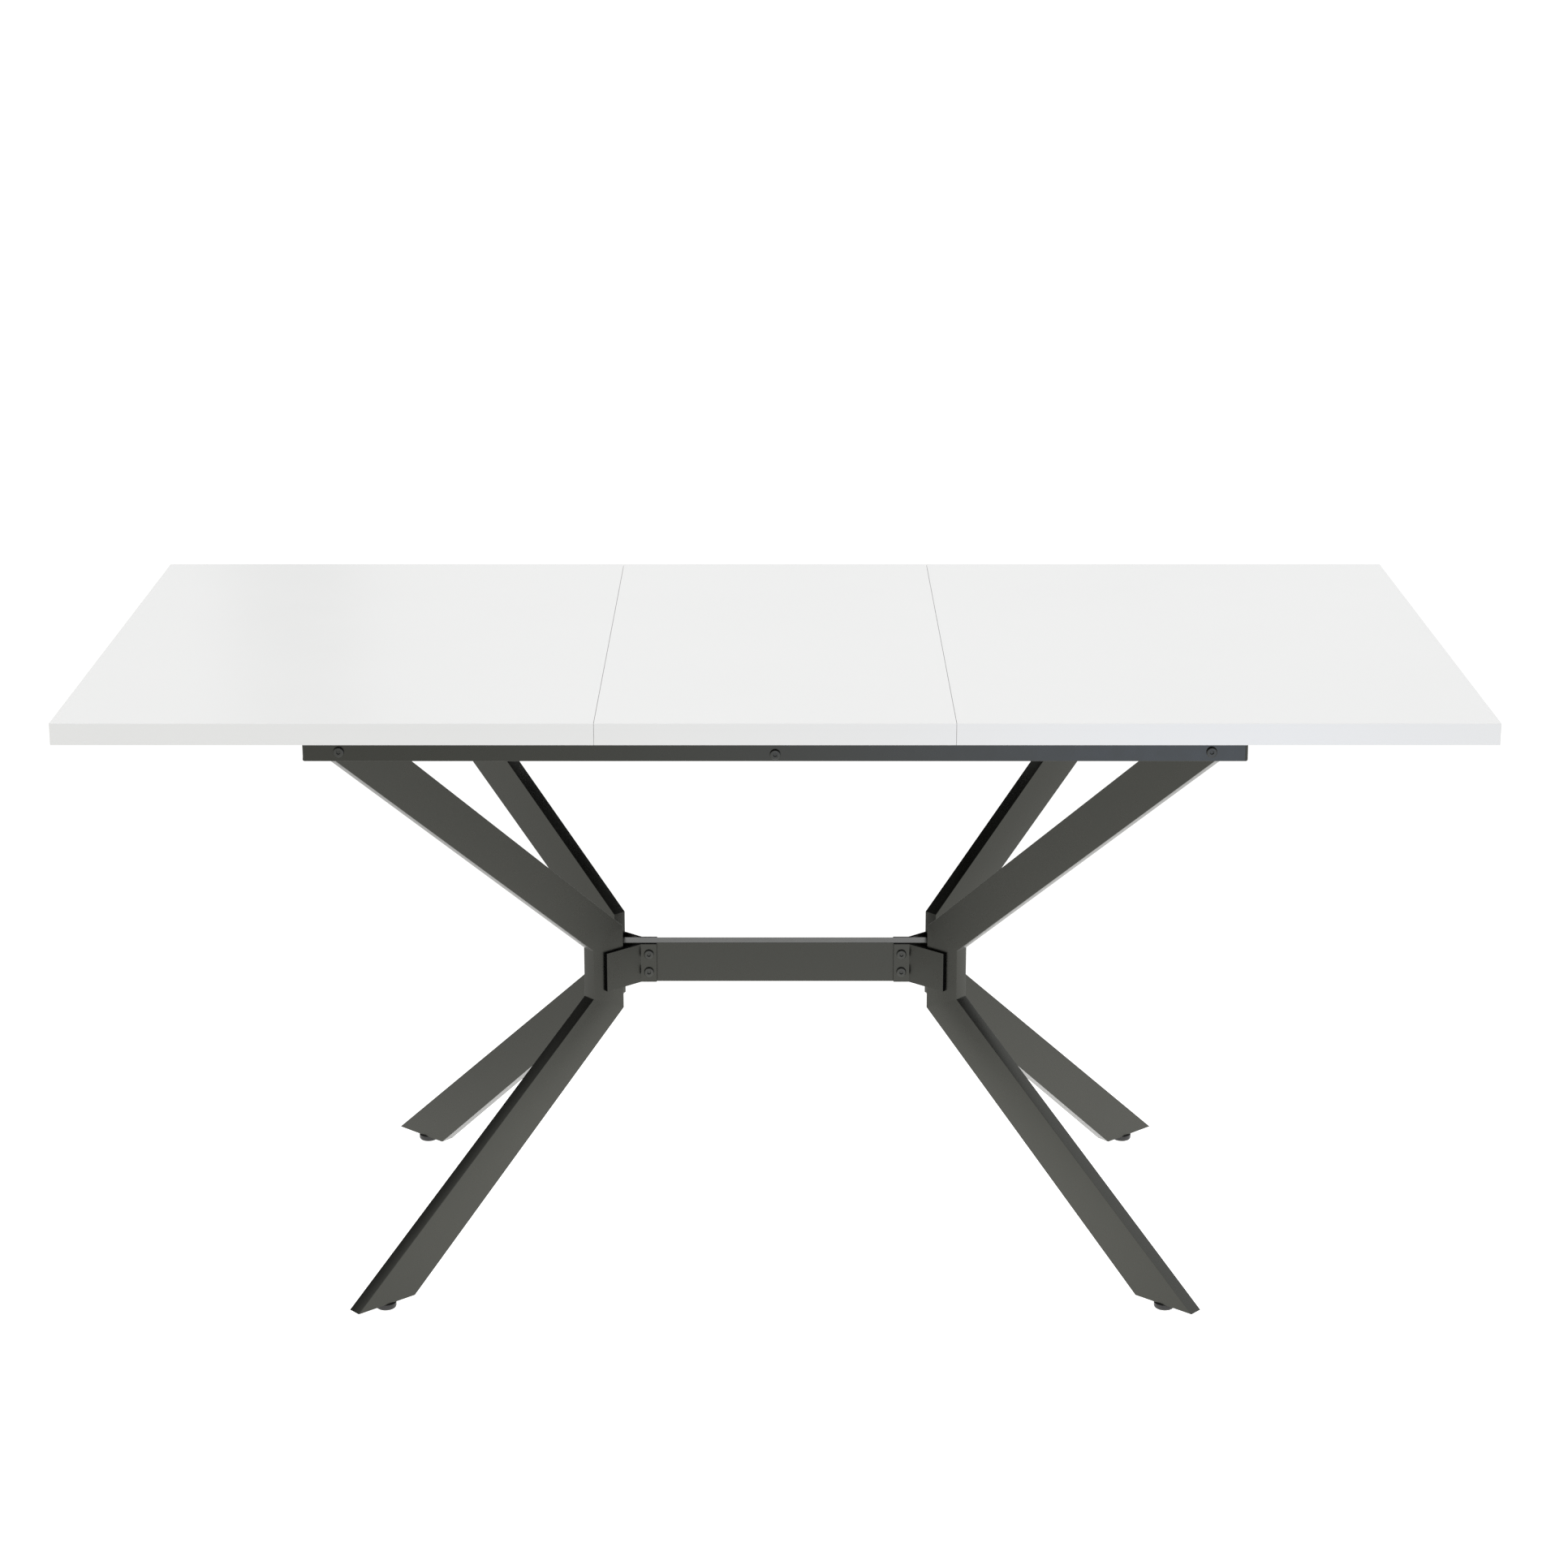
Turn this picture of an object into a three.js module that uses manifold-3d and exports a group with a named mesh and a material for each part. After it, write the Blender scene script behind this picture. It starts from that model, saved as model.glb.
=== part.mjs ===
// Extendable dining table: a white top in three panels on a steel frame with four bent legs.
// Millimetres, +Z up, +X along the table, the front is towards -Y, the origin on the floor at its centre.
// The table stands extended, with its centre leaf in place.
import * as THREE from 'three';
import { mergeVertices } from 'three/addons/utils/BufferGeometryUtils.js';
import Module from 'manifold-3d';

const wasm = await Module();
wasm.setup();

// Driving dimensions
const TOP_LENGTH = 1600;
const TOP_WIDTH = 800;
const TOP_HEIGHT = 762;
const TOP_THICKNESS = 25;
const LEAF_LENGTH = 400;
const SEAM_GAP = 0.3;
const TOUCH_GAP = 0.3;

const RAIL_LENGTH = 1058;
const RAIL_HEIGHT = 38;
const RAIL_DEPTH = 20;
const RAIL_FACE_Y = 330;
const RAIL_WALL = 2;
const CAP_THICKNESS = 2.5;
const CAP_PLUG = 12;
const RAIL_SCREW_SHANK = 26;

const CROSS_BAR_WIDTH = 40;
const CROSS_BAR_HEIGHT = 16;
const CROSS_BAR_WALL = 1.5;
const CROSS_BAR_END_WALL = 6;
const CROSS_BAR_X = 491;
const SIDE_SCREW_Z = 709.6;
const MIDDLE_SCREW_DROP = 2.8;

const LEG_WAIST_X = 211.5;
const LEG_WAIST_Y = 37.3;
const LEG_SPLAY = 42;
const LEG_WAIST_WIDTH = 47.4;
const LEG_DEPTH = 18.5;
const LEG_WALL = 1.5;
const LEG_END_WALL = 3;
const LEG_UPPER_KNEE_Z = 379.9;
const LEG_LOWER_KNEE_Z = 317;
const ARM_LEAN = 49.4;
const ARM_FLARE = 0.4;
const LEG_FOOT_Z = 8;

const PLATE_SIZE = 90;
const PLATE_THICKNESS = 4;
const PLATE_SCREW_PITCH = 26;
const PLATE_SCREW_EDGE = 10;
const PLATE_SCREW_SHANK = 12;

const GLIDE_INSET = 5;
const GLIDE_RADIUS = 12.5;
const GLIDE_ROUND = 3.5;
const GLIDE_STEM_RADIUS = 4;
const GLIDE_STEM_LENGTH = 24;
const GLIDE_STEM_CLEARANCE = 0.4;
const GLIDE_HOLE_RADIUS = GLIDE_STEM_RADIUS + GLIDE_STEM_CLEARANCE;

const BEAM_LENGTH = 380;
const BEAM_HEIGHT = 50.5;
const BEAM_DEPTH = 21;
const BEAM_WALL = 1.5;
const BEAM_TOP_Z = 373.7;

const BRACKET_HEIGHT = 49.5;
const BRACKET_THICKNESS = 4;
const BRACKET_TAB_END_X = 147;
const BRACKET_WING = 54.2;
const BRACKET_SCREW_X = 156.6;
const BRACKET_SCREW_PITCH = 23;
const BRACKET_SCREW_SHANK = 12;

const HEAD_RADIUS = 6;
const HEAD_HEIGHT = 2.6;
const HEAD_RIM_HEIGHT = 1.6;
const HEAD_FACE_RADIUS = 4.8;
const SOCKET_RADIUS = 2.3;
const SOCKET_DEPTH = 1.6;
const SHANK_RADIUS = 3;
const SCREW_HOLE_RADIUS = 3.4;

const CHANNEL_LENGTH = 505;
const CHANNEL_INNER_END = 15;
const CHANNEL_HEIGHT = 18;
const CHANNEL_DEPTH = 14;
const CHANNEL_WALL = 1.5;
const RUNNER_LENGTH = 300;
const RUNNER_OUTER_END = 515;
const RUNNER_WALL = 2.5;
const RUNNER_FLANGE = 28;
const SLIDE_CLEARANCE = 0.6;

const ROUND_STEPS = 16;
const FOOT_STEPS = 24;
const EDGE_STEPS = 3;
// How far a cutting shape runs past the face it cuts
const CUT_PAST = 2;

const underside = TOP_HEIGHT - TOP_THICKNESS;
const railTop = underside - TOUCH_GAP;
const railBottom = railTop - RAIL_HEIGHT;
const railInnerY = RAIL_FACE_Y - RAIL_DEPTH;
const sideBarBottom = SIDE_SCREW_Z - CROSS_BAR_HEIGHT / 2;
const plateTop = sideBarBottom - TOUCH_GAP;
const legTop = plateTop - PLATE_THICKNESS - TOUCH_GAP;
const beamMiddleZ = BEAM_TOP_Z - BEAM_HEIGHT / 2;

const radians = THREE.MathUtils.degToRad;

const whiteLacquer = { color: 0xf2f2f2, roughness: 0.35, metalness: 0 };
const graphiteCoat = { color: 0x4b4c48, roughness: 0.5, metalness: 0.4 };
const graphitePlastic = { color: 0x494a46, roughness: 0.6, metalness: 0 };
const blackPlastic = { color: 0x1b1b1c, roughness: 0.6, metalness: 0 };
const zincSteel = { color: 0xb4b6b8, roughness: 0.4, metalness: 0.9 };
const screwSteel = { color: 0x3d3e3b, roughness: 0.4, metalness: 0.7 };

const table = new THREE.Group();

function addPiece(name, geometry, finish, place = {}) {
  const mesh = new THREE.Mesh(geometry, new THREE.MeshStandardMaterial(finish));
  mesh.name = name;
  mesh.position.set(place.x ?? 0, place.y ?? 0, place.z ?? 0);
  mesh.rotation.z = place.turn ?? 0;
  table.add(mesh);
  return mesh;
}

// Booleans

function toSolid(geometry) {
  const bare = geometry.clone();
  bare.deleteAttribute('normal');
  bare.deleteAttribute('uv');
  const merged = mergeVertices(bare, 1e-4);
  return new wasm.Manifold(new wasm.Mesh({
    numProp: 3,
    vertProperties: new Float32Array(merged.attributes.position.array),
    triVerts: new Uint32Array(merged.index.array),
  }));
}

function toGeometry(solid) {
  const mesh = solid.getMesh();
  const geometry = new THREE.BufferGeometry();
  geometry.setAttribute('position', new THREE.BufferAttribute(new Float32Array(mesh.vertProperties), 3));
  geometry.setIndex(new THREE.BufferAttribute(new Uint32Array(mesh.triVerts), 1));
  geometry.computeVertexNormals();
  return geometry;
}

function cut(body, tools) {
  const result = tools.reduce((solid, tool) => solid.subtract(toSolid(tool)), toSolid(body));
  return toGeometry(result);
}

// Basic shapes

function box(sizeX, sizeY, sizeZ, x = 0, y = 0, z = 0) {
  return new THREE.BoxGeometry(sizeX, sizeY, sizeZ).translate(x, y, z);
}

function rod(radius, length, axis, x, y, z) {
  const geometry = new THREE.CylinderGeometry(radius, radius, length, ROUND_STEPS);
  if (axis === 'x') geometry.rotateZ(Math.PI / 2);
  if (axis === 'z') geometry.rotateX(Math.PI / 2);
  return geometry.translate(x, y, z);
}

function extrude(points, depth) {
  const shape = new THREE.Shape(points.map(([x, y]) => new THREE.Vector2(x, y)));
  return new THREE.ExtrudeGeometry(shape, { depth, bevelEnabled: false, steps: 1 });
}

// A turned piece about Z from (radius, height) points that start and end on the axis.
function turned(points, steps) {
  const profile = points.map(([radius, height]) => new THREE.Vector2(radius, height));
  return new THREE.LatheGeometry(profile, steps).rotateX(Math.PI / 2);
}

// Four corners: name, and the sign of X and of Y
const corners = [
  { name: 'front_left', sx: -1, sy: -1 },
  { name: 'front_right', sx: 1, sy: -1 },
  { name: 'rear_left', sx: -1, sy: 1 },
  { name: 'rear_right', sx: 1, sy: 1 },
];

// Low-head socket screw: head outwards along +Z from z = 0, shank inwards along -Z.
function screwGeometry(shankLength) {
  return turned([
    [0, -shankLength],
    [SHANK_RADIUS, -shankLength],
    [SHANK_RADIUS, 0],
    [HEAD_RADIUS, 0],
    [HEAD_RADIUS, HEAD_RIM_HEIGHT],
    [HEAD_FACE_RADIUS, HEAD_HEIGHT],
    [SOCKET_RADIUS, HEAD_HEIGHT],
    [SOCKET_RADIUS, HEAD_HEIGHT - SOCKET_DEPTH],
    [0, HEAD_HEIGHT - SOCKET_DEPTH],
  ], ROUND_STEPS);
}

// Screw with its head on a face that looks along Y to the front or to the rear.
function addScrewAlongY(name, shankLength, sy, x, faceY, z) {
  const geometry = screwGeometry(shankLength).rotateX(-sy * Math.PI / 2);
  addPiece(name, geometry, screwSteel, { x, y: sy * (faceY + TOUCH_GAP), z });
}

// Top panels

function buildTop() {
  const halfLength = (TOP_LENGTH - LEAF_LENGTH - SEAM_GAP) / 2;
  const halfCentre = (LEAF_LENGTH + SEAM_GAP + halfLength) / 2;
  const middleZ = TOP_HEIGHT - TOP_THICKNESS / 2;
  const half = () => box(halfLength, TOP_WIDTH, TOP_THICKNESS);
  addPiece('left_top_panel', half(), whiteLacquer, { x: -halfCentre, z: middleZ });
  addPiece('right_top_panel', half(), whiteLacquer, { x: halfCentre, z: middleZ });
  const leaf = box(LEAF_LENGTH - SEAM_GAP, TOP_WIDTH, TOP_THICKNESS);
  addPiece('centre_leaf', leaf, whiteLacquer, { z: middleZ });
}

// Rails, their end caps, the cross bars and the screws that join them

const crossBars = [
  { name: 'left', x: -CROSS_BAR_X, z: SIDE_SCREW_Z },
  { name: 'middle', x: 0, z: SIDE_SCREW_Z - MIDDLE_SCREW_DROP },
  { name: 'right', x: CROSS_BAR_X, z: SIDE_SCREW_Z },
];

function buildRail(side, sy) {
  const middleY = sy * (RAIL_FACE_Y - RAIL_DEPTH / 2);
  const middleZ = railTop - RAIL_HEIGHT / 2;
  const bore = box(RAIL_LENGTH + CUT_PAST, RAIL_DEPTH - 2 * RAIL_WALL, RAIL_HEIGHT - 2 * RAIL_WALL);
  const holes = crossBars.map((bar) => (
    rod(SCREW_HOLE_RADIUS, RAIL_DEPTH + CUT_PAST, 'y', bar.x, 0, bar.z - middleZ)
  ));
  const tube = cut(box(RAIL_LENGTH, RAIL_DEPTH, RAIL_HEIGHT), [bore, ...holes]);
  addPiece(`${side}_rail`, tube, graphiteCoat, { y: middleY, z: middleZ });
  for (const [end, sx] of [['left', -1], ['right', 1]]) {
    const faceX = sx * (RAIL_LENGTH / 2 + TOUCH_GAP + CAP_THICKNESS / 2);
    const plugX = faceX - sx * CAP_PLUG / 2;
    const face = box(CAP_THICKNESS, RAIL_DEPTH, RAIL_HEIGHT, faceX);
    const inset = 2 * (RAIL_WALL + TOUCH_GAP);
    const plug = box(CAP_PLUG + CAP_THICKNESS, RAIL_DEPTH - inset, RAIL_HEIGHT - inset, plugX);
    const cap = toGeometry(toSolid(face).add(toSolid(plug)));
    addPiece(`${side}_rail_${end}_cap`, cap, graphitePlastic, { y: middleY, z: middleZ });
  }
  for (const bar of crossBars) {
    addScrewAlongY(`${side}_${bar.name}_rail_screw`, RAIL_SCREW_SHANK, sy, bar.x, RAIL_FACE_Y, bar.z);
  }
}

// Hollow between its solid ends, with holes for the rail screws and, in each half, for the plate screws
function crossBarGeometry(screwsY) {
  const length = 2 * (railInnerY - TOUCH_GAP);
  const bore = box(
    CROSS_BAR_WIDTH - 2 * CROSS_BAR_WALL,
    length - 2 * CROSS_BAR_END_WALL,
    CROSS_BAR_HEIGHT - 2 * CROSS_BAR_WALL,
  );
  const endHole = 2 * (CROSS_BAR_END_WALL + CUT_PAST);
  const bottomHole = 2 * (CROSS_BAR_WALL + CUT_PAST);
  const tools = [bore];
  for (const sy of [-1, 1]) {
    tools.push(rod(SCREW_HOLE_RADIUS, endHole, 'y', 0, sy * length / 2, 0));
    for (const y of screwsY) {
      tools.push(rod(SCREW_HOLE_RADIUS, bottomHole, 'z', 0, sy * y, -CROSS_BAR_HEIGHT / 2));
    }
  }
  return cut(box(CROSS_BAR_WIDTH, length, CROSS_BAR_HEIGHT), tools);
}

// Legs: a flat bent tube in an upright plane, drawn in (reach outwards, height)

const leanOuter = Math.tan(radians(ARM_LEAN + ARM_FLARE));
const leanInner = Math.tan(radians(ARM_LEAN - ARM_FLARE));
const kneeDrop = LEG_WAIST_WIDTH * Math.tan(radians(ARM_LEAN / 2));

// Reach of the arm's outer and inner edge at a height, above or below the waist, inset by a wall.
function armReach(height, inset) {
  const upper = height > (LEG_UPPER_KNEE_Z + LEG_LOWER_KNEE_Z) / 2;
  const knee = upper ? LEG_UPPER_KNEE_Z : -LEG_LOWER_KNEE_Z;
  const level = upper ? height : -height;
  const half = LEG_WAIST_WIDTH / 2;
  const slantOuter = inset / Math.cos(Math.atan(leanOuter));
  const slantInner = inset / Math.cos(Math.atan(leanInner));
  const outer = half + (level - knee) * leanOuter - slantOuter;
  const inner = -half + (level - knee - kneeDrop) * leanInner + slantInner;
  return { outer, inner };
}

function legOutline(inset, topZ, footZ) {
  const half = LEG_WAIST_WIDTH / 2 - inset;
  const outerShift = inset * Math.tan(radians(ARM_LEAN / 2));
  const top = armReach(topZ, inset);
  const foot = armReach(footZ, inset);
  return [
    [foot.inner, footZ],
    [foot.outer, footZ],
    [half, LEG_LOWER_KNEE_Z + outerShift],
    [half, LEG_UPPER_KNEE_Z - outerShift],
    [top.outer, topZ],
    [top.inner, topZ],
    [-half, LEG_UPPER_KNEE_Z + kneeDrop - outerShift],
    [-half, LEG_LOWER_KNEE_Z - kneeDrop + outerShift],
  ];
}

const footReach = armReach(LEG_FOOT_Z, 0);
const glideReach = (footReach.outer + footReach.inner) / 2 - GLIDE_INSET;

function legGeometry() {
  const shell = extrude(legOutline(0, legTop, LEG_FOOT_Z), LEG_DEPTH).translate(0, 0, -LEG_DEPTH / 2);
  const hollowDepth = LEG_DEPTH - 2 * LEG_WALL;
  const hollow = extrude(legOutline(LEG_WALL, legTop + CUT_PAST, LEG_FOOT_Z + LEG_END_WALL), hollowDepth);
  hollow.translate(0, 0, -hollowDepth / 2);
  shell.rotateX(Math.PI / 2);
  hollow.rotateX(Math.PI / 2);
  const hole = rod(GLIDE_HOLE_RADIUS, 2 * (LEG_END_WALL + CUT_PAST), 'z', glideReach, 0, LEG_FOOT_Z);
  return cut(shell, [hollow, hole]);
}

// Turn about Z that points a leg's reach outwards at its corner
function legTurn({ sx, sy }) {
  const splay = radians(LEG_SPLAY);
  return Math.atan2(sy * Math.sin(splay), sx * Math.cos(splay));
}

// Place in plan of a point at a reach along a leg's centre plane
function legPoint({ sx, sy }, reach) {
  const splay = radians(LEG_SPLAY);
  return {
    x: sx * (LEG_WAIST_X + reach * Math.cos(splay)),
    y: sy * (LEG_WAIST_Y + reach * Math.sin(splay)),
  };
}

function buildLeg(corner) {
  const place = { x: corner.sx * LEG_WAIST_X, y: corner.sy * LEG_WAIST_Y, turn: legTurn(corner) };
  addPiece(`${corner.name}_leg`, legGeometry(), graphiteCoat, place);
}

// Mounting plates: each covers its leg's open top and is screwed up into a side cross bar

const plateOuterY = railInnerY - TOUCH_GAP;
const plateMiddleY = plateOuterY - PLATE_SIZE / 2;
const plateInnerY = plateOuterY - PLATE_SIZE;
const topReach = armReach(legTop, 0);
const plateMiddleX = legPoint({ sx: 1, sy: 1 }, (topReach.outer + topReach.inner) / 2).x;
const plateScrewsY = [0, 1].map((row) => plateInnerY + PLATE_SCREW_EDGE + row * PLATE_SCREW_PITCH);

function buildPlate({ name, sx, sy }) {
  const middleX = sx * plateMiddleX;
  const middleY = sy * plateMiddleY;
  const middleZ = plateTop - PLATE_THICKNESS / 2;
  const screwX = sx * CROSS_BAR_X;
  const holes = plateScrewsY.map((y) => (
    rod(SCREW_HOLE_RADIUS, PLATE_THICKNESS + CUT_PAST, 'z', screwX - middleX, sy * y - middleY, 0)
  ));
  const plate = cut(box(PLATE_SIZE, PLATE_SIZE, PLATE_THICKNESS), holes);
  addPiece(`${name}_leg_plate`, plate, graphiteCoat, { x: middleX, y: middleY, z: middleZ });
  plateScrewsY.forEach((y, row) => {
    const screw = screwGeometry(PLATE_SCREW_SHANK).rotateX(Math.PI);
    const z = plateTop - PLATE_THICKNESS - TOUCH_GAP;
    addPiece(`${name}_plate_screw_${row + 1}`, screw, screwSteel, { x: screwX, y: sy * y, z });
  });
}

// Levelling feet: a round glide with a threaded stem that runs up into the leg

function glideGeometry() {
  const padTop = LEG_FOOT_Z - TOUCH_GAP;
  const lowEdge = Array.from({ length: EDGE_STEPS + 1 }, (_, step) => {
    const angle = (step / EDGE_STEPS) * (Math.PI / 2);
    const radius = GLIDE_RADIUS - GLIDE_ROUND * (1 - Math.sin(angle));
    return [radius, GLIDE_ROUND * (1 - Math.cos(angle))];
  });
  return turned([
    [0, 0],
    ...lowEdge,
    [GLIDE_RADIUS, padTop],
    [GLIDE_STEM_RADIUS, padTop],
    [GLIDE_STEM_RADIUS, LEG_FOOT_Z + GLIDE_STEM_LENGTH],
    [0, LEG_FOOT_Z + GLIDE_STEM_LENGTH],
  ], FOOT_STEPS);
}

// Stretcher beam with the brackets' screw holes

function buildBeam() {
  const inset = 2 * BEAM_WALL;
  const tools = [box(BEAM_LENGTH + CUT_PAST, BEAM_DEPTH - inset, BEAM_HEIGHT - inset)];
  for (const sx of [-1, 1]) {
    for (const sz of [-1, 1]) {
      const z = sz * BRACKET_SCREW_PITCH / 2;
      tools.push(rod(SCREW_HOLE_RADIUS, BEAM_DEPTH + CUT_PAST, 'y', sx * BRACKET_SCREW_X, 0, z));
    }
  }
  const tube = cut(box(BEAM_LENGTH, BEAM_DEPTH, BEAM_HEIGHT), tools);
  addPiece('stretcher_beam', tube, graphiteCoat, { z: beamMiddleZ });
}

// Brackets: in plan, a tab along the beam's face and a wing along the leg's face.
// The wing's inner face runs parallel to the leg, one touching gap away from it.

function bracketOutline() {
  const splay = radians(LEG_SPLAY);
  const along = new THREE.Vector2(Math.cos(splay), Math.sin(splay));
  const away = new THREE.Vector2(-Math.sin(splay), Math.cos(splay));
  const legFace = new THREE.Vector2(LEG_WAIST_X, LEG_WAIST_Y);
  const tabInnerY = BEAM_DEPTH / 2 + TOUCH_GAP;
  const tabOuterY = tabInnerY + BRACKET_THICKNESS;
  const wingLine = (offset, y) => {
    const onFace = legFace.clone().addScaledVector(away, LEG_DEPTH / 2 + TOUCH_GAP + offset);
    return onFace.addScaledVector(along, (y - onFace.y) / along.y);
  };
  const outerBend = wingLine(BRACKET_THICKNESS, tabOuterY);
  const innerBend = wingLine(0, tabInnerY);
  const outerEnd = outerBend.clone().addScaledVector(along, BRACKET_WING);
  const innerEnd = outerEnd.clone().addScaledVector(away, -BRACKET_THICKNESS);
  return [
    [BRACKET_TAB_END_X, tabInnerY],
    [innerBend.x, innerBend.y],
    [innerEnd.x, innerEnd.y],
    [outerEnd.x, outerEnd.y],
    [outerBend.x, outerBend.y],
    [BRACKET_TAB_END_X, tabOuterY],
  ];
}

function buildBracket({ name, sx, sy }) {
  const outline = bracketOutline().map(([x, y]) => [sx * x, sy * y]);
  if (sx * sy < 0) outline.reverse();
  const plate = extrude(outline, BRACKET_HEIGHT).translate(0, 0, -BRACKET_HEIGHT / 2);
  const screwX = sx * BRACKET_SCREW_X;
  const faceY = BEAM_DEPTH / 2 + TOUCH_GAP + BRACKET_THICKNESS;
  const middleY = sy * (faceY - BRACKET_THICKNESS / 2);
  const screwHeights = [1, -1].map((sz) => sz * BRACKET_SCREW_PITCH / 2);
  const holes = screwHeights.map((z) => (
    rod(SCREW_HOLE_RADIUS, BRACKET_THICKNESS + CUT_PAST, 'y', screwX, middleY, z)
  ));
  addPiece(`${name}_bracket`, cut(plate, holes), graphiteCoat, { z: beamMiddleZ });
  ['upper', 'lower'].forEach((level, index) => {
    const z = beamMiddleZ + screwHeights[index];
    addScrewAlongY(`${name}_${level}_bracket_screw`, BRACKET_SCREW_SHANK, sy, screwX, faceY, z);
  });
}

// Slides: a channel on the rail's inner face, and a runner in it that carries a half of the top.
// Both sections are drawn in (distance in from the rail's inner face, height below the panels).

function channelSection() {
  const top = -TOUCH_GAP * 2;
  const bottom = top - CHANNEL_HEIGHT;
  const back = TOUCH_GAP;
  const mouth = back + CHANNEL_DEPTH;
  return [
    [back, bottom],
    [mouth, bottom],
    [mouth, bottom + CHANNEL_WALL],
    [back + CHANNEL_WALL, bottom + CHANNEL_WALL],
    [back + CHANNEL_WALL, top - CHANNEL_WALL],
    [mouth, top - CHANNEL_WALL],
    [mouth, top],
    [back, top],
  ];
}

function runnerSection() {
  const top = -TOUCH_GAP;
  const channelTop = -TOUCH_GAP * 2;
  const back = TOUCH_GAP + CHANNEL_WALL + SLIDE_CLEARANCE;
  const low = channelTop - CHANNEL_HEIGHT + CHANNEL_WALL + SLIDE_CLEARANCE;
  const high = channelTop - CHANNEL_WALL - SLIDE_CLEARANCE;
  const webIn = TOUCH_GAP + CHANNEL_DEPTH + SLIDE_CLEARANCE;
  const webOut = webIn + RUNNER_WALL;
  return [
    [back, low],
    [webOut, low],
    [webOut, top - RUNNER_WALL],
    [webOut + RUNNER_FLANGE, top - RUNNER_WALL],
    [webOut + RUNNER_FLANGE, top],
    [webIn, top],
    [webIn, high],
    [back, high],
  ];
}

// Extrudes a slide section along X and puts it on its rail's inner face, front or rear.
function slideGeometry(section, length, sy) {
  const outline = section.map(([inwards, height]) => [-sy * inwards, height]);
  if (sy > 0) outline.reverse();
  const profile = extrude(outline, length).translate(0, 0, -length / 2);
  profile.rotateX(Math.PI / 2).rotateZ(Math.PI / 2);
  return profile.translate(0, sy * railInnerY, underside);
}

function buildSlide({ name, sx, sy }) {
  const channelX = sx * (CHANNEL_INNER_END + CHANNEL_LENGTH / 2);
  const runnerX = sx * (RUNNER_OUTER_END - RUNNER_LENGTH / 2);
  const channel = slideGeometry(channelSection(), CHANNEL_LENGTH, sy);
  const runner = slideGeometry(runnerSection(), RUNNER_LENGTH, sy);
  addPiece(`${name}_slide_channel`, channel, zincSteel, { x: channelX });
  addPiece(`${name}_slide_runner`, runner, zincSteel, { x: runnerX });
}

buildTop();
buildRail('front', -1);
buildRail('rear', 1);
for (const bar of crossBars) {
  const plateRows = bar.x === 0 ? [] : plateScrewsY;
  addPiece(`${bar.name}_cross_bar`, crossBarGeometry(plateRows), graphiteCoat, { x: bar.x, z: bar.z });
}
buildBeam();
for (const corner of corners) {
  buildLeg(corner);
  buildPlate(corner);
  addPiece(`${corner.name}_levelling_foot`, glideGeometry(), blackPlastic, legPoint(corner, glideReach));
  buildBracket(corner);
  buildSlide(corner);
}

export default table;
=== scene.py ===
import math

import bmesh
import bpy
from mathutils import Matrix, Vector


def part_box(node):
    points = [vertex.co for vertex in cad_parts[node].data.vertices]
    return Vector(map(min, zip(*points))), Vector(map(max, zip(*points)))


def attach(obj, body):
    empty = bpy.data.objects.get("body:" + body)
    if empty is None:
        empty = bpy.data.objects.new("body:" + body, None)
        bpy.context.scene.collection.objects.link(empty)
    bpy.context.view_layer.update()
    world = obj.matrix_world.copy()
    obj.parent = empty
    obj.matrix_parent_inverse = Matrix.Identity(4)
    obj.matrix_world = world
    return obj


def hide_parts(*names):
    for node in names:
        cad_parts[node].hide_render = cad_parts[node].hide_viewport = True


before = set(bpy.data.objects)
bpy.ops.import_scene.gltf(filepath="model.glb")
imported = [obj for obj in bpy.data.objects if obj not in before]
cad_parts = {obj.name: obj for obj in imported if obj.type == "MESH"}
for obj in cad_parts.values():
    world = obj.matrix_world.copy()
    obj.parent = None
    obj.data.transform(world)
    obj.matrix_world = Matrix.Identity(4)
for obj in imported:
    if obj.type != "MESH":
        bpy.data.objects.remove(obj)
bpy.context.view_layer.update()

# Extendable dining table. Metres, +Z up, +X along the table, the front is towards -Y.
# Every CAD node is replaced by a finished piece of the same place and size, with rounded edges,
# real wall thicknesses and its own material. Places come from the CAD nodes' boxes.

# Camera
CAMERA_BACK = 4.070852
CAMERA_HEIGHT = 1.764705
CAMERA_PITCH = math.radians(16.262)
CAMERA_LENS = 79.359
CAMERA_SENSOR = 36
CAMERA_SHIFT_X = 0.00565
CAMERA_SHIFT_Y = 0.00018
CAMERA_REACH = 200

# Floor: its own glow, and pools of light on it as (x, y, radius, strength)
FLOOR_RADIUS = 60.0
FLOOR_GLOW = 1.0
FLOOR_POOLS = [
    (0.06, 0.0, 1.3, 0.73),
    (1.2, 0.4, 1.0, 0.34),
    (3.4, -0.1, 1.4, 0.33),
    (-3.4, -0.2, 1.4, 0.33),
]
# In front of the table, the floor's glow drifts from a dark painted shade at the left to a cool
# painted light at the right:
# colours at shares of the way from -DRIFT_REACH to DRIFT_REACH
DRIFT_RISE_Y = (-1.4, -2.6)
DRIFT_FALL_Y = (-4.0, -7.5)
DRIFT_REACH = 4.0
NEUTRAL = (0.98, 0.975, 0.96)
DRIFT_COLORS = [
    (0.0, NEUTRAL),
    (0.25, (0.68, 0.68, 0.62)),
    (0.4, (0.6, 0.6, 0.55)),
    (0.47, (0.75, 0.75, 0.72)),
    (0.51, (0.98, 1.0, 1.06)),
    (0.55, (1.2, 1.3, 1.65)),
    (0.61, (1.52, 1.8, 2.55)),
    (0.7, (1.05, 1.1, 1.2)),
    (0.85, NEUTRAL),
]

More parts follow.
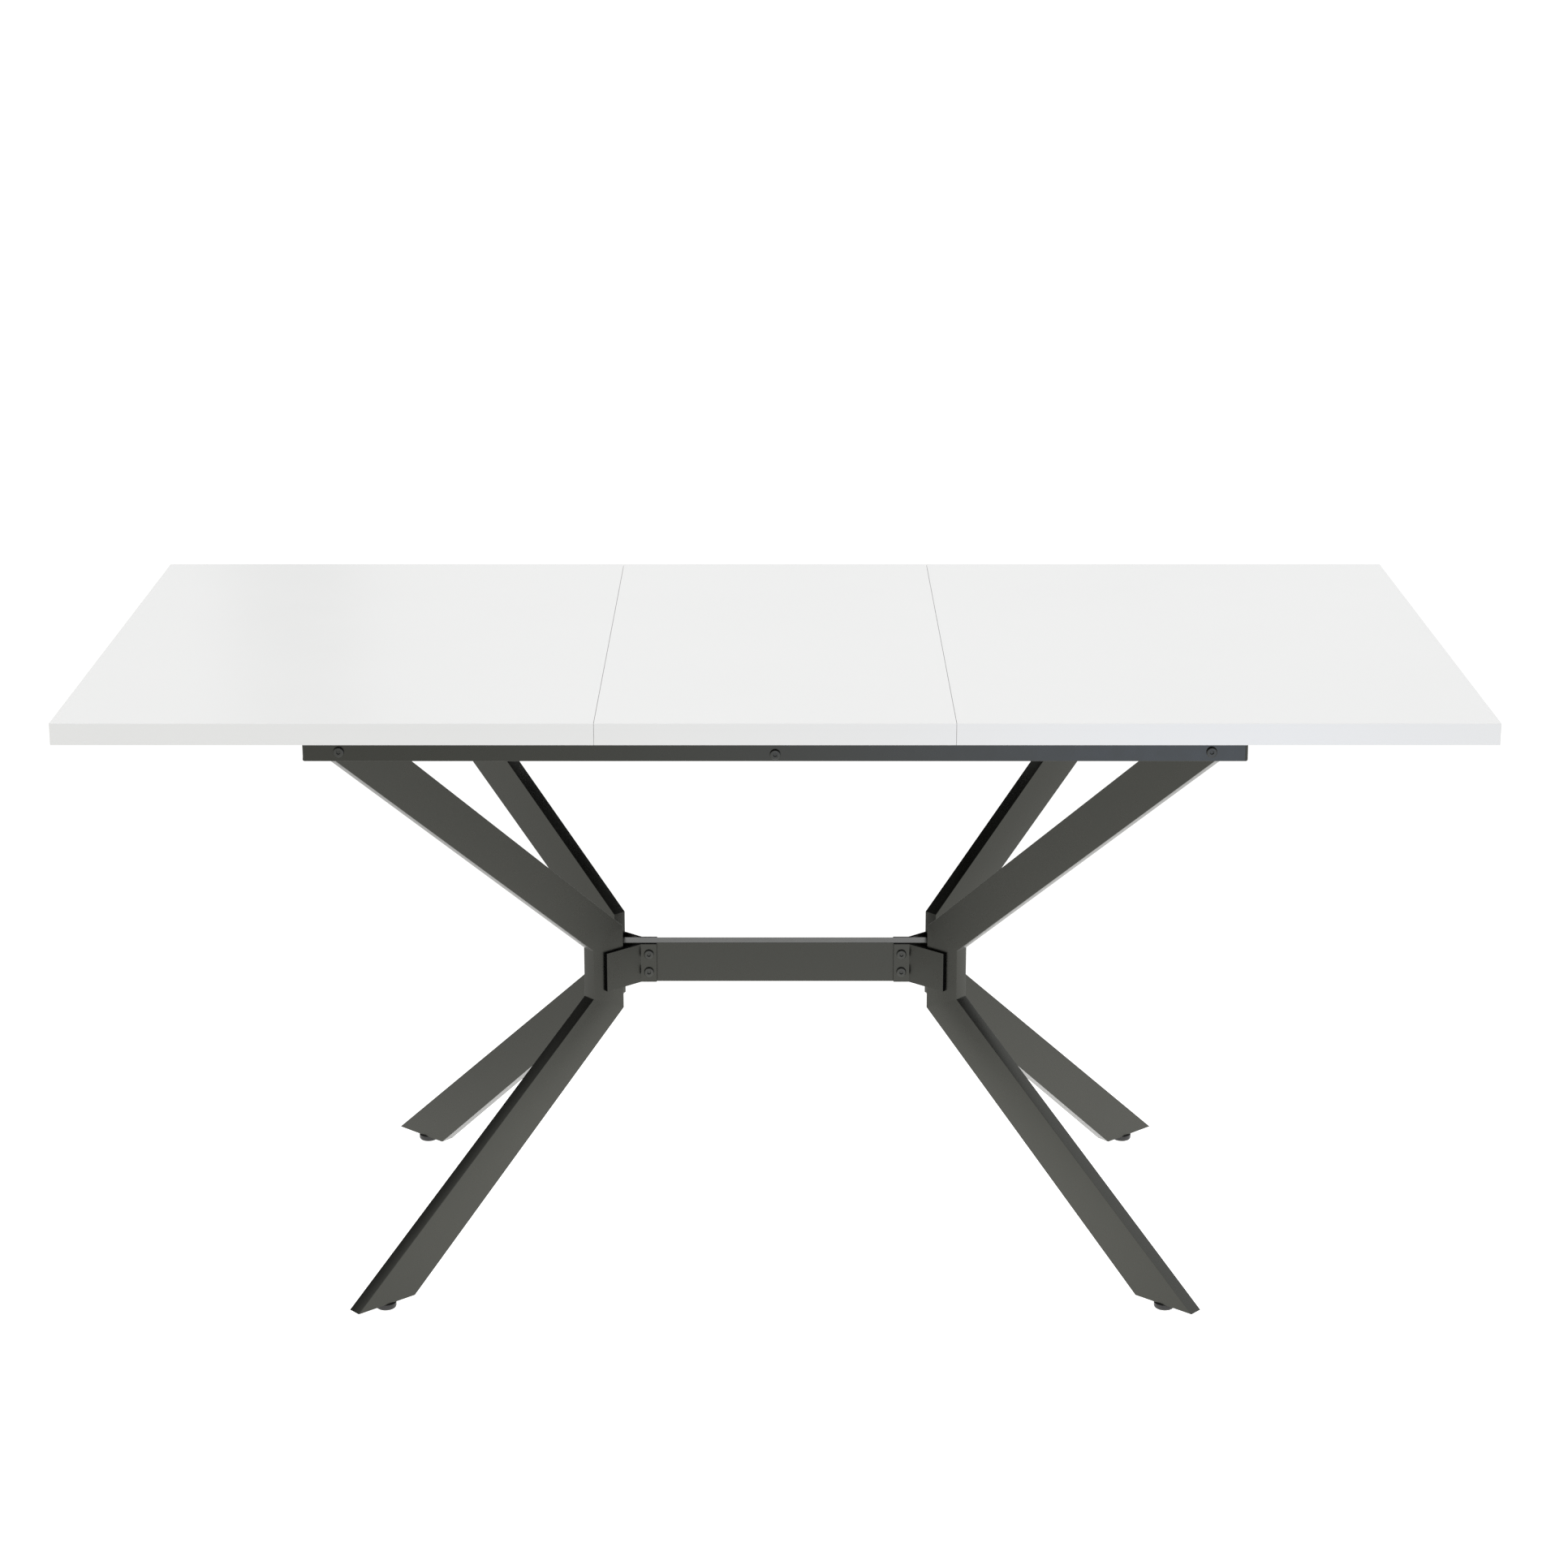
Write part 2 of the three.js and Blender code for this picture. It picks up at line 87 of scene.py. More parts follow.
# Sky: brighter overhead, cooler to the right, with a dark patch and a faint upright strip behind
SKY_COLORS = [(0.0, (0.96, 0.96, 0.95)), (1.0, (1.04, 1.05, 1.08))]
HORIZON_STRENGTH = 0.9
ZENITH_STRENGTH = 1.31
PATCH_DIRECTION = (-0.62, 0.6, 0.5)
PATCH_OUTER = math.radians(32)
PATCH_INNER = math.radians(14)
PATCH_STRENGTH = 0.1
STRIP_ACROSS = (0.99, 0.141, 0)
STRIP_HALF_WIDTH = math.radians(1.5)
STRIP_STRENGTH = 0.82

# A wide soft light over the table
SOFTBOX_PLACE = (0, -0.4, 3.4)
SOFTBOX_TARGET = (0, 0, 0.7)
SOFTBOX_SIZE = (3.0, 2.0)
SOFTBOX_POWER = 8
SOFTBOX_COLOR = (1, 1, 0.99)

# The span that a noise texture's values mostly fill
NOISE_SPAN = (0.3, 0.7)

# Edges, walls and holes
PANEL_CORNER = 0.0012
PANEL_TOP_RIM = 0.0008
PANEL_BOTTOM_RIM = 0.0002
SEAM_CORNER = 0.0003
SEAM_SHARE = 0.15
TUBE_CORNER = 0.0005
BORE_CORNER = 0.0004
TUBE_WALL = 0.0015
RAIL_WALL = 0.002
BAR_END_WALL = 0.006
SCREW_HOLE = 0.0034
CUT_RIM = 0.0003
SHEET_CORNER = 0.0004
PLATE_CORNER = 0.008
TOUCH_GAP = 0.0003

# Rail caps
CAP_RIM = 0.0022
PLUG_CORNER = 0.0006
PLUG_LEAD = 0.001
PLUG_TAPER = 0.0005

# How far apart points still weld into one, and how sharp a corner an inset still follows
WELD_DISTANCE = 1e-7
SHARPEST_MITRE = 0.3
# The share of a normal along a direction from which a face looks that way, or leans that way
FACING = 0.9
LEANING = 0.3

# Legs, as the CAD has them
LEG_WAIST_X = 0.2115
LEG_WAIST_Y = 0.0373
LEG_SPLAY = math.radians(42)
LEG_WAIST_WIDTH = 0.0474
LEG_DEPTH = 0.0185
LEG_WALL = 0.0015
LEG_END_WALL = 0.003
LEG_UPPER_KNEE_Z = 0.3799
LEG_LOWER_KNEE_Z = 0.317
ARM_LEAN = math.radians(49.4)
ARM_FLARE = math.radians(0.4)
LEG_CORNER = 0.0005
LEG_KNEE_ROUND = 0.001

# Levelling feet
GLIDE_INSET = 0.005
GLIDE_ROUND = 0.0035
GLIDE_RIM = 0.0006
GLIDE_SOLE_INSET = 0.002
GLIDE_HOLE = 0.0044
STEM_RADIUS = 0.004
STEM_CLEARANCE = 0.0001
THREAD_PITCH = 0.00125
THREAD_DEPTH = 0.0006
THREAD_STEPS = 8

# Brackets
BRACKET_THICKNESS = 0.004
BRACKET_WING = 0.0542
BRACKET_BEND = 0.001

# Screws
HEAD_HEIGHT = 0.0026
HEAD_RIM = 0.0014
SHANK_RADIUS = 0.003
SHANK_CHAMFER = 0.0009
SOCKET_APOTHEM = 0.002
SOCKET_DEPTH = 0.0016
SOCKET_LIP = 0.00025

# Slides
CHANNEL_WALL = 0.0015
CHANNEL_BEND = 0.0008
RUNNER_WALL = 0.0025
RUNNER_BEND = 0.001
RUNNER_TONGUE_CLEARANCE = 0.0006

# Each corner's name, and its sides along X and Y
CORNERS = [
    ("front_left", -1, -1),
    ("front_right", 1, -1),
    ("rear_left", -1, 1),
    ("rear_right", 1, 1),
]


# Shader node helpers: each adds a node to the tree and returns its output

def ranged(tree, value, span, result, smooth=False):
    """The value carried from one span to another, and held at its ends."""
    scale = tree.nodes.new("ShaderNodeMapRange")
    if smooth:
        scale.interpolation_type = "SMOOTHSTEP"
    scale.inputs["From Min"].default_value, scale.inputs["From Max"].default_value = span
    scale.inputs["To Min"].default_value, scale.inputs["To Max"].default_value = result
    tree.links.new(value, scale.inputs["Value"])
    return scale.outputs["Result"]


def ramped(tree, value, stops):
    """The colour at the value between stops of (place, colour)."""
    ramp = tree.nodes.new("ShaderNodeValToRGB")
    elements = ramp.color_ramp.elements
    elements[0].position, elements[1].position = stops[0][0], stops[-1][0]
    elements[0].color, elements[1].color = (*stops[0][1], 1), (*stops[-1][1], 1)
    for place, color in stops[1:-1]:
        elements.new(place).color = (*color, 1)
    tree.links.new(value, ramp.inputs["Fac"])
    return ramp.outputs["Color"]


def measured(tree, operation, vector, other):
    """The vector's distance from the other one, or its dot product with it."""
    measure = tree.nodes.new("ShaderNodeVectorMath")
    measure.operation = operation
    measure.inputs[1].default_value = other
    tree.links.new(vector, measure.inputs[0])
    return measure.outputs["Value"]


def combined(tree, operation, value, other):
    """The value added to or multiplied by another one or by a number."""
    result = tree.nodes.new("ShaderNodeMath")
    result.operation = operation
    tree.links.new(value, result.inputs[0])
    if isinstance(other, float):
        result.inputs[1].default_value = other
    else:
        tree.links.new(other, result.inputs[1])
    return result.outputs["Value"]


def mixed(tree, share, plain, color):
    """A plain colour that turns into another one as the share goes from 0 to 1."""
    mix = tree.nodes.new("ShaderNodeMixRGB")
    mix.inputs["Color1"].default_value = (*plain, 1)
    tree.links.new(share, mix.inputs["Fac"])
    tree.links.new(color, mix.inputs["Color2"])
    return mix.outputs["Color"]


# Camera, floor and light

def make_camera():
    data = bpy.data.cameras.new("camera")
    data.lens = CAMERA_LENS
    data.sensor_width = CAMERA_SENSOR
    data.shift_x = CAMERA_SHIFT_X
    data.shift_y = CAMERA_SHIFT_Y
    data.clip_end = CAMERA_REACH
    camera = bpy.data.objects.new("camera", data)
    camera.location = (0, -CAMERA_BACK, CAMERA_HEIGHT)
    camera.rotation_euler = (math.pi / 2 - CAMERA_PITCH, 0, 0)
    bpy.context.scene.collection.objects.link(camera)
    bpy.context.scene.camera = camera


def make_floor():
    mesh = bpy.data.meshes.new("floor")
    bm = bmesh.new()
    bmesh.ops.create_circle(bm, cap_ends=True, segments=96, radius=FLOOR_RADIUS)
    bm.to_mesh(mesh)
    bm.free()
    floor = bpy.data.objects.new("floor", mesh)
    bpy.context.scene.collection.objects.link(floor)
    mat = bpy.data.materials.new("pale_floor")
    mat.use_nodes = True
    shader = mat.node_tree.nodes["Principled BSDF"]
    shader.inputs["Base Color"].default_value = (0.12, 0.12, 0.12, 1)
    shader.inputs["Roughness"].default_value = 0.9
    shader.inputs["Specular IOR Level"].default_value = 0.0
    light_floor(mat.node_tree, shader)
    mat.cycles.emission_sampling = "NONE"
    mesh.materials.append(mat)


def light_floor(tree, shader):
    """The floor's own soft light: painted pools of light round the table, and in front a
    side-to-side drift of painted shade and painted cool light.
    """
    place = tree.nodes.new("ShaderNodeTexCoord").outputs["Object"]
    glow = FLOOR_GLOW
    for x, y, radius, strength in FLOOR_POOLS:
        away = measured(tree, "DISTANCE", place, (x, y, 0))
        pool = ranged(tree, away, (0, radius), (strength, 0), smooth=True)
        glow = combined(tree, "ADD", pool, glow)
    tree.links.new(glow, shader.inputs["Emission Strength"])
    split = tree.nodes.new("ShaderNodeSeparateXYZ")
    tree.links.new(place, split.inputs["Vector"])
    rise = ranged(tree, split.outputs["Y"], DRIFT_RISE_Y, (0, 1), smooth=True)
    fall = ranged(tree, split.outputs["Y"], DRIFT_FALL_Y, (1, 0), smooth=True)
    forward = combined(tree, "MULTIPLY", rise, fall)
    across = ranged(tree, split.outputs["X"], (-DRIFT_REACH, DRIFT_REACH), (0, 1))
    color = mixed(tree, forward, NEUTRAL, ramped(tree, across, DRIFT_COLORS))
    tree.links.new(color, shader.inputs["Emission Color"])


def make_world():
    world = bpy.data.worlds.new("studio")
    bpy.context.scene.world = world
    world.use_nodes = True
    tree = world.node_tree
    background = tree.nodes["Background"]
    direction = tree.nodes.new("ShaderNodeTexCoord").outputs["Generated"]
    split = tree.nodes.new("ShaderNodeSeparateXYZ")
    tree.links.new(direction, split.inputs["Vector"])
    across = ranged(tree, split.outputs["X"], (-1, 1), (0, 1))
    tree.links.new(ramped(tree, across, SKY_COLORS), background.inputs["Color"])
    height = ranged(tree, split.outputs["Z"], (0, 1), (HORIZON_STRENGTH, ZENITH_STRENGTH))
    facing = measured(tree, "DOT_PRODUCT", direction, PATCH_DIRECTION)
    patch_edge = (math.cos(PATCH_OUTER), math.cos(PATCH_INNER))
    patch = ranged(tree, facing, patch_edge, (1, PATCH_STRENGTH), smooth=True)
    aside = measured(tree, "DOT_PRODUCT", direction, STRIP_ACROSS)
    squared = combined(tree, "MULTIPLY", aside, aside)
    strip_edge = (0, math.sin(STRIP_HALF_WIDTH) ** 2)
    strip = ranged(tree, squared, strip_edge, (STRIP_STRENGTH, 1), smooth=True)
    shaded = combined(tree, "MULTIPLY", height, patch)
    strength = combined(tree, "MULTIPLY", shaded, strip)
    tree.links.new(strength, background.inputs["Strength"])


def make_softbox():
    data = bpy.data.lights.new("top_softbox", "AREA")
    data.shape = "RECTANGLE"
    data.size, data.size_y = SOFTBOX_SIZE
    data.energy = SOFTBOX_POWER
    data.color = SOFTBOX_COLOR
    light = bpy.data.objects.new("top_softbox", data)
    light.location = SOFTBOX_PLACE
    direction = Vector(SOFTBOX_TARGET) - Vector(SOFTBOX_PLACE)
    light.rotation_euler = direction.to_track_quat("-Z", "Y").to_euler()
    bpy.context.scene.collection.objects.link(light)


# Materials

def principled(name, roughness, metallic=0.0, specular=0.5):
    mat = bpy.data.materials.new(name)
    mat.use_nodes = True
    shader = mat.node_tree.nodes["Principled BSDF"]
    shader.inputs["Roughness"].default_value = roughness
    shader.inputs["Metallic"].default_value = metallic
    shader.inputs["Specular IOR Level"].default_value = specular
    return mat, mat.node_tree, shader


def noise(tree, scale, detail=2.0):
    coords = tree.nodes.new("ShaderNodeTexCoord")
    texture = tree.nodes.new("ShaderNodeTexNoise")
    texture.inputs["Scale"].default_value = scale
    texture.inputs["Detail"].default_value = detail
    tree.links.new(coords.outputs["Object"], texture.inputs["Vector"])
    return texture.outputs["Fac"]


def spread(tree, value, low, high):
    """A noise value spread over low to high."""
    return ranged(tree, value, NOISE_SPAN, (low, high))


def tinted(tree, shader, value, dark, light):
    """Base colour that drifts between dark and light with a noise value."""
    color = ramped(tree, value, [(NOISE_SPAN[0], dark), (NOISE_SPAN[1], light)])
    tree.links.new(color, shader.inputs["Base Color"])


def bumped(tree, shader, value, distance, strength=1.0):
    bump = tree.nodes.new("ShaderNodeBump")
    bump.inputs["Distance"].default_value = distance
    bump.inputs["Strength"].default_value = strength
    tree.links.new(value, bump.inputs["Height"])
    tree.links.new(bump.outputs["Normal"], shader.inputs["Normal"])


def white_lacquer():
    mat, tree, shader = principled("white_lacquer", 0.3)
    tinted(tree, shader, noise(tree, 3.0), (0.692, 0.69, 0.676), (0.702, 0.7, 0.686))
    tree.links.new(spread(tree, noise(tree, 9.0), 0.13, 0.16), shader.inputs["Roughness"])
    bumped(tree, shader, noise(tree, 420.0), 0.000002)
    return mat


# Near-black for the panels' undersides: a painted shade standing in for the shadow beneath the top
def painted_shade_underside():
    mat, tree, shader = principled("painted_shade_underside", 0.6)
    tinted(tree, shader, noise(tree, 260.0, 5.0), (0.018, 0.018, 0.018), (0.03, 0.03, 0.029))
    bumped(tree, shader, noise(tree, 900.0), 0.00004)
    return mat


def graphite_coat():
    mat, tree, shader = principled("graphite_coat", 0.28, metallic=1.0)
    tinted(tree, shader, noise(tree, 1400.0, 3.0), (0.0607, 0.0613, 0.0552), (0.0645, 0.0651, 0.059))
    tree.links.new(spread(tree, noise(tree, 60.0, 4.0), 0.265, 0.295), shader.inputs["Roughness"])
    bumped(tree, shader, noise(tree, 1100.0, 3.0), 0.000005)
    return mat


# Near-black painted shade for the brackets' end, top and bottom faces, standing in for the shadow in
# the gap by the leg
def painted_edge_shade():
    mat, tree, shader = principled("painted_edge_shade", 0.9, specular=0.05)
    tinted(tree, shader, noise(tree, 700.0), (0.002, 0.002, 0.002), (0.004, 0.004, 0.004))
    bumped(tree, shader, noise(tree, 1500.0), 0.00003)
    return mat


def graphite_plastic():
    mat, tree, shader = principled("graphite_plastic", 0.45, metallic=0.9)
    tinted(tree, shader, noise(tree, 900.0), (0.060, 0.062, 0.055), (0.072, 0.074, 0.066))
    bumped(tree, shader, noise(tree, 1500.0, 3.0), 0.00003)
    return mat


def black_plastic():
    mat, tree, shader = principled("black_plastic", 0.45)
    tinted(tree, shader, noise(tree, 500.0), (0.012, 0.012, 0.012), (0.018, 0.018, 0.018))
    tree.links.new(spread(tree, noise(tree, 300.0), 0.38, 0.52), shader.inputs["Roughness"])
    bumped(tree, shader, noise(tree, 1800.0, 3.0), 0.00004)
    return mat


def screw_steel():
    mat, tree, shader = principled("screw_steel", 0.38, metallic=1.0)
    tinted(tree, shader, noise(tree, 1200.0), (0.060, 0.061, 0.057), (0.080, 0.081, 0.076))
    tree.links.new(spread(tree, noise(tree, 500.0), 0.32, 0.44), shader.inputs["Roughness"])
    bumped(tree, shader, noise(tree, 2500.0), 0.00002)
    return mat


def zinc_steel():
    mat, tree, shader = principled("zinc_steel", 0.38, metallic=1.0)
    coords = tree.nodes.new("ShaderNodeTexCoord")
    spangle = tree.nodes.new("ShaderNodeTexVoronoi")
    spangle.inputs["Scale"].default_value = 140.0
    tree.links.new(coords.outputs["Object"], spangle.inputs["Vector"])
    tinted(tree, shader, spangle.outputs["Distance"], (0.50, 0.51, 0.53), (0.62, 0.63, 0.64))
    tree.links.new(spread(tree, noise(tree, 120.0, 4.0), 0.3, 0.46), shader.inputs["Roughness"])
    bumped(tree, shader, noise(tree, 600.0), 0.00002)
    return mat


# Outlines: lists of (u, v) points, counter-clockwise

def quarter_turn(steps):
    """Angles from nought to a right angle."""
    return [step / steps * math.pi / 2 for step in range(steps + 1)]


def rounded_rect(width, height, radius, steps=5, stretch=1.0):
    """A rectangle about the origin with round corners, whose rounding is stretched along u."""
    points = []
    radius_u = radius * stretch
    for quarter in range(4):
        sign_u = (1, -1, -1, 1)[quarter]
        sign_v = (1, 1, -1, -1)[quarter]
        for step in range(steps + 1):
            angle = (quarter + step / steps) * math.pi / 2
            points.append((
                sign_u * (width / 2 - radius_u) + radius_u * math.cos(angle),
                sign_v * (height / 2 - radius) + radius * math.sin(angle),
            ))
    return points


def circle(radius, count):
    """A circle about the origin, whose points lie evenly on both sides of each axis."""
    angles = [2 * math.pi * (index + 0.5) / count for index in range(count)]
    return [(radius * math.cos(angle), radius * math.sin(angle)) for angle in angles]


def filleted(points, radii, steps=4, closed=True):
    """A polygon or polyline with each corner rounded to its radius."""
    rounded = []
    count = len(points)
    for index, corner in enumerate(points):
        corner = Vector(corner)
        if not closed and index in (0, count - 1):
            rounded.append(tuple(corner))
            continue
        before = (Vector(points[index - 1]) - corner).normalized()
        after = (Vector(points[(index + 1) % count]) - corner).normalized()
        half = before.angle(after) / 2
        reach = radii[index] / math.tan(half)
        middle = corner + (before + after).normalized() * (radii[index] / math.sin(half))
        start = corner + before * reach - middle
        sweep = start.angle_signed(corner + after * reach - middle)
        for step in range(steps + 1):
            turn = -sweep * step / steps
            rounded.append((
                middle.x + start.x * math.cos(turn) - start.y * math.sin(turn),
                middle.y + start.x * math.sin(turn) + start.y * math.cos(turn),
            ))
    return rounded


def inset(outline, distance):
    """The outline moved inwards by a distance, each point along the mean of its sides' normals."""
    moved = []
    count = len(outline)
    for index in range(count):
        point = Vector(outline[index])
        into = (point - Vector(outline[index - 1])).normalized()
        out = (Vector(outline[(index + 1) % count]) - point).normalized()
        normal = Vector((-into.y - out.y, into.x + out.x)).normalized()
        along = Vector((-into.y, into.x))
        moved.append(tuple(point + normal * (distance / max(SHARPEST_MITRE, normal.dot(along)))))
    return moved


# Meshes from rings of points

def on_axis(axis, u, v, w):
    """The point whose section place is (u, v) and whose place along the axis is w."""
    return {"x": (w, u, v), "y": (u, w, v), "z": (u, v, w)}[axis]


def make_piece(name, rings, finish, body, nodes=(), looped=False, smooth=35, flat=True):
    """A piece from rings of as many points each, capped at both ends or looped back on itself.
    Its faces shade flat up to their rounded edges, or else very slightly crowned."""
    bm = bmesh.new()
    rows = [[bm.verts.new(point) for point in ring] for ring in rings]
    count = len(rings[0])
    pairs = list(zip(rows, rows[1:]))
    if looped:
        pairs.append((rows[-1], rows[0]))
    for low, high in pairs:
        for index in range(count):
            after = (index + 1) % count
            bm.faces.new((low[index], low[after], high[after], high[index]))
    if not looped:
        bm.faces.new(rows[0])
        bm.faces.new(rows[-1])
    bmesh.ops.remove_doubles(bm, verts=bm.verts, dist=WELD_DISTANCE)
    bmesh.ops.recalc_face_normals(bm, faces=bm.faces)
    if bm.calc_volume(signed=True) < 0:
        bmesh.ops.reverse_faces(bm, faces=bm.faces)
    mesh = bpy.data.meshes.new(name)
    bm.to_mesh(mesh)
    bm.free()
    mesh.materials.append(finish)
    mesh.shade_smooth()
    mesh.set_sharp_from_angle(angle=math.radians(smooth))
    piece = bpy.data.objects.new(name, mesh)
    bpy.context.scene.collection.objects.link(piece)
    if flat:
        weighted = piece.modifiers.new("weighted_normals", "WEIGHTED_NORMAL")
        weighted.keep_sharp = True
    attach(piece, body)
    if nodes:
        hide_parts(*nodes)
    return piece


def rim_rings(outline, place, inwards, rim, steps=3):
    """Rings that round an end's rim: from the end face at place back to the full outline."""
    rings = []
    for angle in quarter_turn(steps):
        narrowed = inset(outline, rim * (1 - math.sin(angle)))
        rings.append((narrowed, place + inwards * rim * (1 - math.cos(angle))))
    return rings


def prism_rings(outline, axis, start, end, start_rim, end_rim):
    """Rings of a solid with one outline along an axis, with round rims at both ends."""
    rings = rim_rings(outline, start, 1, start_rim)
    rings += reversed(rim_rings(outline, end, -1, end_rim))
    return [[on_axis(axis, u, v, w) for u, v in ring] for ring, w in rings]


def tube_rings(outer, inner, axis, start, end, rim):
    """Rings of an open tube: out along its outside and back along its bore."""
    rings = prism_rings(outer, axis, start, end, rim, rim)
    for w in (end, start):
        rings.append([on_axis(axis, u, v, w) for u, v in inner])
    return rings


def moved_outline(outline, u, v):
    return [(point[0] + u, point[1] + v) for point in outline]


def section_of(low, high, axis):
    """Centre and size of a box's section across an axis, and its two ends along it."""
    order = {"x": (1, 2, 0), "y": (0, 2, 1), "z": (0, 1, 2)}[axis]
    centre = [(low[i] + high[i]) / 2 for i in order[:2]]
    size = [high[i] - low[i] for i in order[:2]]
    return centre, size, low[order[2]], high[order[2]]


def rounded_block(name, node, axis, corner, rims, finish, body):
    """A solid block in a node's box, with round corners across the axis and round rims."""
    centre, size, start, end = section_of(*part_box(node), axis)
    outline = moved_outline(rounded_rect(*size, corner), *centre)
    rings = prism_rings(outline, axis, start, end, *rims)
    return make_piece(name, rings, finish, body, [node])


def rounded_tube(name, node, axis, corner, wall, finish, body):
    """An open tube in a node's box."""
    centre, size, start, end = section_of(*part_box(node), axis)
    outer = moved_outline(rounded_rect(*size, corner), *centre)
    bore = rounded_rect(size[0] - 2 * wall, size[1] - 2 * wall, BORE_CORNER)
    inner = moved_outline(bore, *centre)
    rings = tube_rings(outer, inner, axis, start, end, CUT_RIM)
    return make_piece(name, rings, finish, body, [node], looped=True)


# Table top

def board_outline(low, high, distance, seams):
    """A board's outline moved inwards by a distance, less at a seam than along the outside."""
    left, right = (distance * (SEAM_SHARE if seam else 1) for seam in seams)
    points = [
        (low.x + left, low.y + distance),
        (high.x - right, low.y + distance),
        (high.x - right, high.y - distance),
        (low.x + left, high.y - distance),
    ]
    left_round, right_round = (SEAM_CORNER if seam else PANEL_CORNER for seam in seams)
    return filleted(points, [left_round, right_round, right_round, left_round])


def make_panel(node, body, seams, lacquer, underside_shade):
    low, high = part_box(node)
    levels = []
    for angle in quarter_turn(4):
        rise = PANEL_BOTTOM_RIM * (1 - math.cos(angle))
        levels.append((PANEL_BOTTOM_RIM * (1 - math.sin(angle)), low.z + rise))
    for angle in reversed(quarter_turn(4)):
        drop = PANEL_TOP_RIM * (1 - math.cos(angle))
        levels.append((PANEL_TOP_RIM * (1 - math.sin(angle)), high.z - drop))
    rings = []
    for distance, z in levels:
        rings.append([(x, y, z) for x, y in board_outline(low, high, distance, seams)])
    board = make_piece(node + "_board", rings, lacquer, body, [node])
    board.data.materials.append(underside_shade)
    # Faces that look down take the underside's near-black painted shade
    for face in board.data.polygons:
        if face.normal.z < -FACING:
            face.material_index = 1


def make_panels(lacquer, underside_shade):
    make_panel("left_top_panel", "left_top", (False, True), lacquer, underside_shade)
    make_panel("centre_leaf", "leaf", (True, True), lacquer, underside_shade)
    make_panel("right_top_panel", "right_top", (True, False), lacquer, underside_shade)


# Rails and cross bars

def make_rails(coat, plastic):
    for side in ("front", "rear"):
        rounded_tube(f"{side}_rail_tube", f"{side}_rail", "x", TUBE_CORNER, RAIL_WALL,
                     coat, "frame")
        for end, sign in (("left", -1), ("right", 1)):
            node = f"{side}_rail_{end}_cap"
            make_rail_cap(node, f"{side}_rail", sign, plastic)


def make_rail_cap(node, rail, sign, plastic):
    """A cap with a rounded outer face, which closes up against the rail's end, and its plug."""
    low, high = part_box(node)
    rail_low, rail_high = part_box(rail)
    centre, size, start, end = section_of(low, high, "x")
    outer_x = end if sign > 0 else start
    plug_x = start if sign > 0 else end
    rail_x = rail_high.x if sign > 0 else rail_low.x
    face = moved_outline(rounded_rect(*size, TUBE_CORNER), *centre)
    wall = RAIL_WALL + TOUCH_GAP
    section = rounded_rect(size[0] - 2 * wall, size[1] - 2 * wall, PLUG_CORNER)
    plug = moved_outline(section, *centre)
    rings = rim_rings(face, outer_x, -sign, CAP_RIM, steps=6)
    rings += [(face, rail_x), (plug, rail_x), (plug, plug_x + sign * PLUG_LEAD)]
    rings.append((inset(plug, PLUG_TAPER), plug_x))
    placed = [[on_axis("x", u, v, x) for u, v in ring] for ring, x in rings]
    make_piece(node + "_moulding", placed, plastic, "frame", [node])


def make_cross_bars(coat):
    for which in ("left", "middle", "right"):
        make_cross_bar(f"{which}_cross_bar", coat)


def make_cross_bar(node, coat):
    """A tube with a wall across each end, and a hole in that wall for the rail's screw."""
    centre, size, start, end = section_of(*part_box(node), "y")
    outer = moved_outline(rounded_rect(*size, TUBE_CORNER), *centre)
    bore = rounded_rect(size[0] - 2 * TUBE_WALL, size[1] - 2 * TUBE_WALL, BORE_CORNER)
    inner = moved_outline(bore, *centre)
    hole = moved_outline(circle(SCREW_HOLE, len(outer)), *centre)
    inner_end, inner_start = end - BAR_END_WALL, start + BAR_END_WALL
    inside = [(hole, end), (hole, inner_end), (inner, inner_end),
              (inner, inner_start), (hole, inner_start), (hole, start)]
    rings = prism_rings(outer, "y", start, end, CUT_RIM, CUT_RIM)
    rings += [[on_axis("y", u, v, w) for u, v in outline] for outline, w in inside]
    make_piece(node + "_tube", rings, coat, "frame", [node], looped=True)


# Screws

def hexagon_reach(angle, apothem):
    sixth = math.pi / 3
    return apothem / math.cos((angle + sixth / 2) % sixth - sixth / 2)


def screw_profile(head_radius, shank):
    """(radius, height, is the ring a hexagon) from the shank's tip to the bottom of the socket."""
    profile = [(SHANK_RADIUS - SHANK_CHAMFER, -shank, False)]
    profile.append((SHANK_RADIUS, -shank + SHANK_CHAMFER, False))
    profile += [(SHANK_RADIUS, 0, False), (head_radius, 0, False)]
    for angle in quarter_turn(5):
        profile.append((
            head_radius - HEAD_RIM * (1 - math.cos(angle)),
            HEAD_HEIGHT - HEAD_RIM * (1 - math.sin(angle)),
            False,
        ))
    profile.append((SOCKET_APOTHEM + SOCKET_LIP, HEAD_HEIGHT, True))
    profile.append((SOCKET_APOTHEM, HEAD_HEIGHT - SOCKET_LIP, True))
    profile.append((SOCKET_APOTHEM, HEAD_HEIGHT - SOCKET_DEPTH, True))
    return profile


def make_screw(node, axis, sign, steel):
    """A low button-head screw with a hexagon socket; its head looks along the axis, by the sign."""
    centre, size, start, end = section_of(*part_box(node), axis)
    seat = (end if sign > 0 else start) - sign * HEAD_HEIGHT
    profile = screw_profile(size[0] / 2, end - start - HEAD_HEIGHT)
    steps = 36
    rings = []
    for radius, height, hexagon in profile:
        ring = []
        for step in range(steps):
            angle = 2 * math.pi * step / steps
            reach = hexagon_reach(angle, radius) if hexagon else radius
            u = centre[0] + reach * math.cos(angle)
            v = centre[1] + reach * math.sin(angle)
            ring.append(on_axis(axis, u, v, seat + sign * height))
        rings.append(ring)
    make_piece(node + "_button", rings, steel, "frame", [node])


